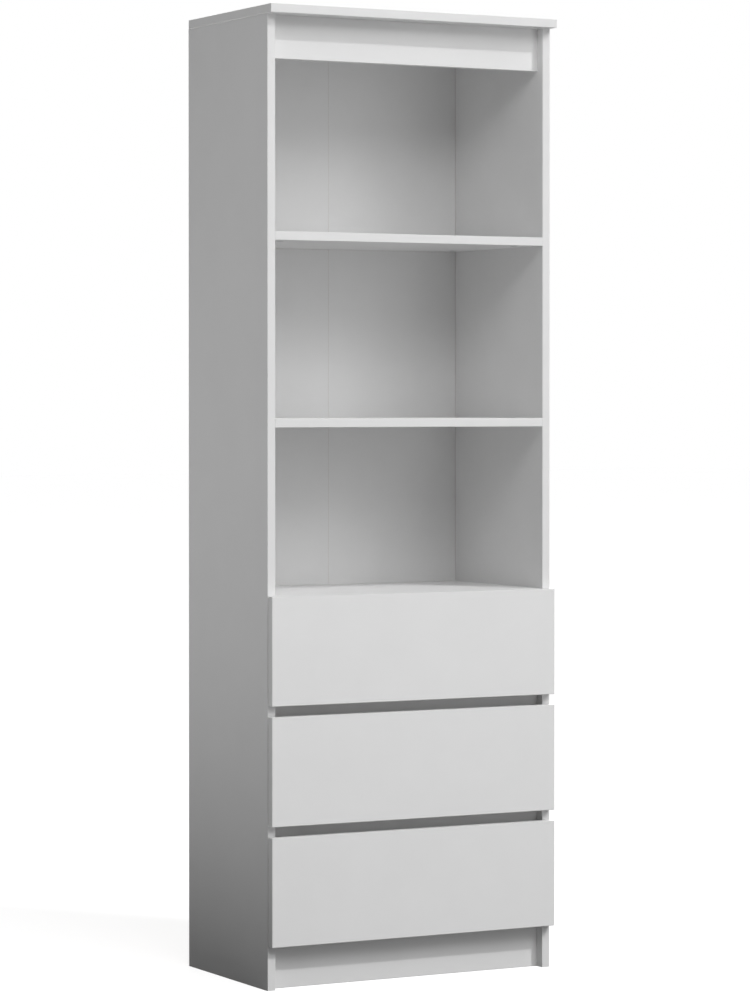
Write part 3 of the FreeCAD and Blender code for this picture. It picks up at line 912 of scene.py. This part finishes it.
def left_drawer_runner(drawer):
    """The angle under one drawer side: web, flange under the side, lip over the roller, holes, rivet."""
    sizes = bpy.context.scene.bookcase_fittings
    steel = sizes.steel_thickness
    low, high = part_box(f"{drawer}_drawer_left_runner")
    board_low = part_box(f"{drawer}_drawer_left_side")[0]
    web_x = board_low.x - steel / 2
    low_z, high_z = low.z + steel / 2, high.z - steel / 2
    runner = sheet("drawer_runner", (web_x, low.y, low_z), (0, high.y - low.y, high_z - low_z), X)
    lip = low.x if low.x < web_x else board_low.x
    with editing(runner):
        fold_out(runner, edge_at(Y, z=low_z), (high.x - web_x, 0, 0))
        fold_out(runner, edge_at(Y, x=web_x, z=high_z), (lip - web_x, 0, 0))
        bevel(runner, "edges", edge_at(Y, x=web_x), 0.8 * steel, 4)
        bevel(runner, "verts", lambda corner: corner.co.x > high.x - SAME, SHEET_CORNER, 5)
    thickened(runner, steel)
    screws = screw_places(f"{drawer}_drawer_screws", (board_low.x - 10 * MM, low.y, low.z - 10 * MM),
                          (high.x, high.y, high.z + 20 * MM))
    holes = [slot_tool((screw.x, screw.y, low_z), SCREW_HOLE, 0, Z) for screw in screws]
    slot_x = board_low.x + 8 * MM
    for place in DRAWER_SLOTS:
        slot_start = low.y + place * (high.y - low.y)
        holes.append(slot_tool((slot_x, slot_start, low_z), SLOT, DRAWER_SLOT_RUN, Z))
    cut_away(runner, *holes)
    axle = left_roller_place(f"{drawer}_drawer_rollers")
    return joined("drawer_runner", [smoothed(runner), rivet(board_low.x - steel, axle, -1)])


def angle_bracket(centre_x, low, high):
    """An angle bracket with a rounded bend, rounded corners and a hole in each leg."""
    sizes = bpy.context.scene.bookcase_fittings
    thickness, half = sizes.bracket_thickness, sizes.bracket_width / 2
    top, rear = high.z - thickness / 2, high.y - thickness / 2
    bracket = sheet("bracket", (centre_x - half, rear, low.z), (2 * half, 0, top - low.z), Y)
    with editing(bracket):
        fold_out(bracket, edge_at(X, z=top), (0, low.y - rear, 0))
        bevel(bracket, "edges", edge_at(X, y=rear, z=top), 1.5 * thickness, 6)
        bevel(bracket, "verts", lambda corner: corner.co.z < low.z + SAME or corner.co.y < low.y + SAME,
              SHEET_CORNER, 5)
    thickened(bracket, thickness)
    wall_z, wall_hole = WALL_FIXING["pos_m"][2], WALL_FIXING["dims"]["hole_r_mm"] * MM
    holes = [new_rod("hole", wall_hole, (centre_x, rear - REACH, wall_z),
                     (centre_x, rear + REACH, wall_z), axis=Y)]
    screws = screw_places("carcass_screws", (centre_x - half, low.y, low.z),
                          (centre_x + half, high.y, high.z + 20 * MM))
    holes += [new_rod("hole", SCREW_HOLE, (centre_x, screw.y, top - REACH), (centre_x, screw.y, top + REACH))
              for screw in screws]
    cut_away(bracket, *holes)
    return smoothed(bracket)


# ---------------------------------------------------------------- properties


def length_property(name, description, default, precision=4):
    return bpy.props.FloatProperty(name=name, description=description, default=default, precision=precision,
                                   unit="LENGTH")


def colour_property(name, description, default):
    return bpy.props.FloatVectorProperty(name=name, description=description, default=default, size=3,
                                         min=0, max=1, subtype="COLOR")


def fraction_property(name, description, default):
    return bpy.props.FloatProperty(name=name, description=description, default=default, min=0, max=1,
                                   subtype="FACTOR")


class BookcaseBoards(bpy.types.PropertyGroup):
    """Sizes of the boards' edges."""

    band_thickness: length_property("Band thickness", "Thickness of the edge band", 0.001)
    band_radius: length_property("Band radius", "Rounding of the band's outer edges", 0.0008)
    band_seam: length_property(
        "Band seam", "Width of the hairline between band and face", 0.00008, precision=5)
    tape_thickness: length_property(
        "Tape thickness", "Thickness of the tape over the seam of the back", 0.0008)


class BookcaseFittings(bpy.types.PropertyGroup):
    """Sizes of the sheet steel fittings."""

    steel_thickness: length_property("Runner sheet", "Thickness of the runners' sheet steel", 0.0012)
    channel_height: length_property("Channel height", "Height of a cabinet runner's channel", 0.0244)
    channel_depth: length_property("Channel depth", "Width of a cabinet runner's track and cover", 0.0105)
    channel_mouth: length_property(
        "Channel mouth", "Length at the front without a cover, where the drawer is lifted out", 0.044)
    flange_lift: length_property(
        "Flange lift", "Height of a drawer runner above the underside of its channel", 0.001)
    bracket_thickness: length_property("Bracket sheet", "Thickness of the wall brackets", 0.002)
    bracket_width: length_property("Bracket width", "Width of the wall brackets", 0.02)


class BookcaseFinishes(bpy.types.PropertyGroup):
    """Colours and gloss of everything on the bookcase."""

    board_colour: colour_property("Boards", "White of the melamine faces and edge bands", (0.82, 0.82, 0.82))
    board_shine: fraction_property(
        "Board shine", "How strongly boards and bands mirror their surroundings", 0.1)
    face_roughness: fraction_property("Face roughness", "Roughness of the melamine faces", 0.42)
    band_roughness: fraction_property("Band roughness", "Roughness of the edge bands", 0.32)
    chip_colour: colour_property("Chipboard", "Darker tone of the cut chipboard", (0.36, 0.25, 0.15))
    back_colour: colour_property("Back", "White of the lacquered hardboard", (0.79, 0.79, 0.79))
    hardboard_colour: colour_property("Hardboard", "Brown of the bare hardboard", (0.27, 0.165, 0.088))
    zinc_colour: colour_property("Zinc", "Zinc plating of the fasteners", (0.5, 0.51, 0.53))
    metal_roughness: fraction_property("Zinc roughness", "Roughness of the zinc plating", 0.34)
    coat_colour: colour_property("Powder coat", "White of the runners and brackets", (0.78, 0.78, 0.775))
    nylon_colour: colour_property("Nylon", "Cream of the rollers and bumpers", (0.78, 0.77, 0.72))
    beech_colour: colour_property("Beech", "Colour of the dowels", (0.58, 0.40, 0.24))


class BookcaseStudio(bpy.types.PropertyGroup):
    """Camera, lights and floor."""

    camera_place: bpy.props.FloatVectorProperty(
        name="Camera place", description="Where the camera stands", default=(-3.270893, -6.068522, 1.085526),
        size=3, subtype="TRANSLATION", unit="LENGTH")
    camera_turn: bpy.props.FloatProperty(
        name="Camera turn", description="How far the camera is turned to the right of straight back",
        default=0.495407, subtype="ANGLE")
    camera_tilt: bpy.props.FloatProperty(
        name="Camera tilt", description="How far the camera looks up", default=-0.012169, subtype="ANGLE")
    camera_lens: bpy.props.FloatProperty(
        name="Lens", description="Focal length in millimetres", default=130.611, min=1)
    camera_shift: bpy.props.FloatProperty(
        name="Lens shift", description="Vertical shift as a part of the frame's height", default=-0.059171)
    floor_colour: colour_property("Floor", "Tone of the floor", (0.15, 0.15, 0.15))
    floor_glow: bpy.props.FloatProperty(
        name="Floor glow", description="White that the floor shows beside its own shade", default=0.87,
        min=0, max=1)
    sky_light: bpy.props.FloatProperty(
        name="Room light", description="Strength of the even light from all round", default=0.04, min=0)


# ---------------------------------------------------------------- studio


WHITE = (1, 1, 1, 1)
FLOOR_SHADE = (0.4, 0.4, 0.4, 1)
# The floor's side, how far off the suns hang, and how far the camera sees, in metres
FLOOR_SIZE = 80
SUN_DISTANCE = 5
SIGHT = 200
# The camera's sensor, in millimetres
SENSOR_WIDTH = 36
# Suns: degrees right of the front, degrees up, width in degrees, strength
SUNS = {
    "front_sun": (5, 38, 16, 0.223),
    "steep_sun": (0, 60, 28, 0.305),
    "right_sun": (18, 48, 20, 0.167),
    "low_sun": (33, 24, 16, 0.167),
    "back_sun": (150, 15, 30, 1.1),
}
# Lamps: place, the point they face, width and depth in metres, power in watts
LAMPS = {
    "key_lamp": ((7.6, -12.0, 15.0), (10.0, -15.8, 0), (1.5, 1.5), 2724),
    "high_lamp": ((-1.2, -2.078, 2.9), (0, 0, 0.9), (1.0, 1.0), 13.2),
    "far_lamp": ((-0.6, -3.6, 3.2), (0, 0, 0.9), (1.6, 1.0), 17.6),
    "left_lamp": ((-2.255, -0.821, 2.9), (0, 0, 0.9), (1.0, 1.0), 2.3),
    "middle_lamp": ((1.2, -2.078, 1.6), (0, 0, 0.9), (1.0, 1.0), 8.4),
    "low_lamp": ((0.417, -2.364, 0.5), (0, 0, 0.9), (1.0, 1.0), 5.1),
    "floor_lamp": ((-2.1, 0.5, 0.03), (-2.1, 0.5, 1), (1.8, 3.0), 31.7),
}


def new_lamp(name, light, place, towards):
    """A lamp that hangs at a place and shines from a direction, and isn't seen itself."""
    lamp = bpy.data.objects.new(name, light)
    bpy.context.scene.collection.objects.link(lamp)
    lamp.location = place
    lamp.rotation_euler = towards.to_track_quat("Z", "Y").to_euler()
    lamp.visible_camera = False
    return lamp


def add_lights():
    for name, (turn, height, width, strength) in SUNS.items():
        light = bpy.data.lights.new(name, "SUN")
        light.angle = math.radians(width)
        light.energy = strength
        turn, height = math.radians(turn), math.radians(height)
        level = math.cos(height)
        towards = Vector((math.sin(turn) * level, -math.cos(turn) * level, math.sin(height)))
        new_lamp(name, light, towards * SUN_DISTANCE, towards)
    for name, (place, target, size, power) in LAMPS.items():
        light = bpy.data.lights.new(name, "AREA")
        light.shape = "RECTANGLE"
        light.size, light.size_y = size
        light.energy = power
        new_lamp(name, light, place, Vector(place) - Vector(target)).visible_glossy = False


def seen_directly(tree):
    """1 for what the camera sees, straight or through gloss or glass, and 0 for the light in the room."""
    path = tree.nodes.new("ShaderNodeLightPath")
    total = path.outputs["Is Camera Ray"]
    for ray in ("Is Glossy Ray", "Is Transmission Ray"):
        add = tree.nodes.new("ShaderNodeMath")
        add.operation = "ADD"
        add.use_clamp = True
        tree.links.new(total, add.inputs[0])
        tree.links.new(path.outputs[ray], add.inputs[1])
        total = add.outputs[0]
    return total


def show_two(tree, output, in_the_room, to_the_camera):
    """Sends a surface one shader for the light in the room, and another for what is seen of it."""
    mix = tree.nodes.new("ShaderNodeMixShader")
    tree.links.new(seen_directly(tree), mix.inputs[0])
    tree.links.new(in_the_room.outputs[0], mix.inputs[1])
    tree.links.new(to_the_camera.outputs[0], mix.inputs[2])
    tree.links.new(mix.outputs[0], tree.nodes[output].inputs["Surface"])


def studio_floor_finish(studio):
    """A pale floor that shows as white where it is lit, with the shade of the bookcase left on it."""
    material = bpy.data.materials.new("studio_floor")
    material.use_nodes = True
    tree = material.node_tree
    floor = tree.nodes["Principled BSDF"]
    floor.inputs["Base Color"].default_value = (*studio.floor_colour, 1)
    floor.inputs["Roughness"].default_value = 0.9
    floor.inputs["Specular IOR Level"].default_value = 0.0
    shade = tree.nodes.new("ShaderNodeBsdfDiffuse")
    shade.inputs["Color"].default_value = FLOOR_SHADE
    glow = tree.nodes.new("ShaderNodeEmission")
    glow.inputs["Strength"].default_value = studio.floor_glow
    pale = tree.nodes.new("ShaderNodeAddShader")
    tree.links.new(shade.outputs[0], pale.inputs[0])
    tree.links.new(glow.outputs[0], pale.inputs[1])
    show_two(tree, "Material Output", floor, pale)
    return material


def studio_surroundings(studio):
    """A world that lights evenly and faintly, and shows as white."""
    world = bpy.data.worlds.new("studio")
    world.use_nodes = True
    tree = world.node_tree
    room = tree.nodes["Background"]
    white = tree.nodes.new("ShaderNodeBackground")
    for background, strength in ((room, studio.sky_light), (white, 1.0)):
        background.inputs["Color"].default_value = WHITE
        background.inputs["Strength"].default_value = strength
    show_two(tree, "World Output", room, white)
    return world


def studio_camera(studio):
    camera = bpy.data.objects.new("camera", bpy.data.cameras.new("camera"))
    bpy.context.scene.collection.objects.link(camera)
    camera.location = studio.camera_place
    camera.rotation_euler = (math.pi / 2 + studio.camera_tilt, 0, -studio.camera_turn)
    camera.data.lens = studio.camera_lens
    camera.data.sensor_width = SENSOR_WIDTH
    camera.data.shift_y = studio.camera_shift
    camera.data.clip_end = SIGHT
    return camera


# ---------------------------------------------------------------- operators


class BOOKCASE_OT_carcass_boards(bpy.types.Operator):
    """Make the sides, top, shelves, plinth and rails with their edge bands"""

    bl_idname = "bookcase.carcass_boards"
    bl_label = "Carcass boards"
    bl_options = {"REGISTER", "UNDO"}

    def execute(self, context):
        for node, (thin, bands) in BOARDS.items():
            banded_board(node, thin, bands)
        return {"FINISHED"}


class BOOKCASE_OT_drawer_boards(bpy.types.Operator):
    """Make the drawer fronts, sides, backs and bottoms"""

    bl_idname = "bookcase.drawer_boards"
    bl_label = "Drawer boards"
    bl_options = {"REGISTER", "UNDO"}

    def execute(self, context):
        for drawer in DRAWERS:
            for board, (thin, bands) in DRAWER_BOARDS.items():
                banded_board(f"{drawer}_drawer_{board}", thin, bands)
            hardboard_leaf(f"{drawer}_drawer_bottom", Z, 1)
        return {"FINISHED"}


class BOOKCASE_OT_back(bpy.types.Operator):
    """Make the two leaves of the back, the tape over their seam and the nails"""

    bl_idname = "bookcase.back"
    bl_label = "Back"
    bl_options = {"REGISTER", "UNDO"}

    def execute(self, context):
        for hand in HANDS:
            hardboard_leaf(f"back_panel_{hand}", Y, -1)
        seam_tape("back_joint_tape")
        nail = nail_master()
        fit_everywhere("back_pins", "back_nails", nail)
        bpy.data.objects.remove(nail)
        return {"FINISHED"}


class BOOKCASE_OT_fasteners(bpy.types.Operator):
    """Make the cams, connecting bolts, dowels and screws"""

    bl_idname = "bookcase.fasteners"
    bl_label = "Fasteners"
    bl_options = {"REGISTER", "UNDO"}

    def execute(self, context):
        cam, bolt, dowel, screw = cam_master(), bolt_master(), dowel_master(), screw_master()
        for part in ["carcass"] + [f"{drawer}_drawer" for drawer in DRAWERS]:
            fit_everywhere(f"{part}_cams", f"{part}_cam_locks", cam)
            fit_everywhere(f"{part}_bolts", f"{part}_cam_bolts", bolt)
            fit_everywhere(f"{part}_pan_screws", f"{part}_screws", screw)
        fit_everywhere("carcass_beech_dowels", "carcass_dowels", dowel)
        for master in (cam, bolt, dowel, screw):
            bpy.data.objects.remove(master)
        return {"FINISHED"}


class BOOKCASE_OT_rollers(bpy.types.Operator):
    """Make the nylon rollers and the soft bumpers"""

    bl_idname = "bookcase.rollers"
    bl_label = "Rollers and bumpers"
    bl_options = {"REGISTER", "UNDO"}

    def execute(self, context):
        roller, bumper = roller_master(), bumper_master()
        for drawer in DRAWERS:
            for part in ("cabinet", "drawer"):
                fit_everywhere(f"{drawer}_{part}_wheels", f"{drawer}_{part}_rollers", roller)
        fit_everywhere("drawer_bumper_pads", "drawer_bumpers", bumper, head=(0, -1, 0))
        for master in (roller, bumper):
            bpy.data.objects.remove(master)
        return {"FINISHED"}


class BOOKCASE_OT_runners(bpy.types.Operator):
    """Make the sheet steel runners on the cabinet's sides and under the drawers"""

    bl_idname = "bookcase.runners"
    bl_label = "Runners"
    bl_options = {"REGISTER", "UNDO"}

    def execute(self, context):
        tracks = [left_cabinet_runner(drawer) for drawer in DRAWERS]
        twins = [mirrored_copy(track) for track in tracks]
        for hand, pieces in (("left", tracks), ("right", twins)):
            track = joined(f"{hand}_cabinet_tracks", pieces)
            settle(finish_with(track, white_powder_coat), f"{hand}_cabinet_runners")
        for drawer in DRAWERS:
            left = left_drawer_runner(drawer)
            for hand, piece in (("left", left), ("right", mirrored_copy(left))):
                named(piece, f"{drawer}_drawer_{hand}_rail")
                settle(finish_with(piece, white_powder_coat), f"{drawer}_drawer_{hand}_runner")
        return {"FINISHED"}


class BOOKCASE_OT_wall_brackets(bpy.types.Operator):
    """Make the two angle brackets that fix the bookcase to a wall"""

    bl_idname = "bookcase.wall_brackets"
    bl_label = "Wall brackets"
    bl_options = {"REGISTER", "UNDO"}

    def execute(self, context):
        low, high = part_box("wall_brackets")
        half = context.scene.bookcase_fittings.bracket_width / 2
        brackets = [angle_bracket(centre, low, high) for centre in (low.x + half, high.x - half)]
        settle(finish_with(joined("wall_angles", brackets), white_powder_coat), "wall_brackets")
        return {"FINISHED"}


class BOOKCASE_OT_studio(bpy.types.Operator):
    """Set up the floor, the lights, the white surroundings and the camera"""

    bl_idname = "bookcase.studio"
    bl_label = "Studio"
    bl_options = {"REGISTER", "UNDO"}

    def execute(self, context):
        scene = context.scene
        studio = scene.bookcase_studio
        bpy.ops.mesh.primitive_plane_add(size=FLOOR_SIZE)
        floor = named(bpy.context.object, "studio_floor")
        floor.data.materials.append(studio_floor_finish(studio))
        add_lights()
        scene.world = studio_surroundings(studio)
        scene.camera = studio_camera(studio)
        scene.view_settings.view_transform = "Standard"
        return {"FINISHED"}


OPERATORS = (
    BOOKCASE_OT_studio,
    BOOKCASE_OT_carcass_boards,
    BOOKCASE_OT_drawer_boards,
    BOOKCASE_OT_back,
    BOOKCASE_OT_fasteners,
    BOOKCASE_OT_rollers,
    BOOKCASE_OT_runners,
    BOOKCASE_OT_wall_brackets,
)


class BOOKCASE_PT_sidebar(bpy.types.Panel):
    """The bookcase's pieces, sizes and finishes"""

    bl_idname = "BOOKCASE_PT_sidebar"
    bl_label = "Bookcase"
    bl_space_type = "VIEW_3D"
    bl_region_type = "UI"
    bl_category = "Bookcase"

    def draw(self, context):
        layout = self.layout
        for operator in OPERATORS:
            layout.operator(operator.bl_idname)
        for group in GROUPS:
            layout.separator()
            values = getattr(context.scene, group)
            for name in values.__annotations__:
                layout.prop(values, name)


GROUPS = {
    "bookcase_boards": BookcaseBoards,
    "bookcase_fittings": BookcaseFittings,
    "bookcase_finishes": BookcaseFinishes,
    "bookcase_studio": BookcaseStudio,
}
CLASSES = (*GROUPS.values(), *OPERATORS, BOOKCASE_PT_sidebar)


def register():
    for piece in CLASSES:
        bpy.utils.register_class(piece)
    for name, group in GROUPS.items():
        setattr(bpy.types.Scene, name, bpy.props.PointerProperty(type=group))


def unregister():
    for name in GROUPS:
        delattr(bpy.types.Scene, name)
    for piece in reversed(CLASSES):
        bpy.utils.unregister_class(piece)


def main():
    register()
    for operator in OPERATORS:
        group, name = operator.bl_idname.split(".")
        getattr(getattr(bpy.ops, group), name)()


if __name__ == "__main__":
    main()
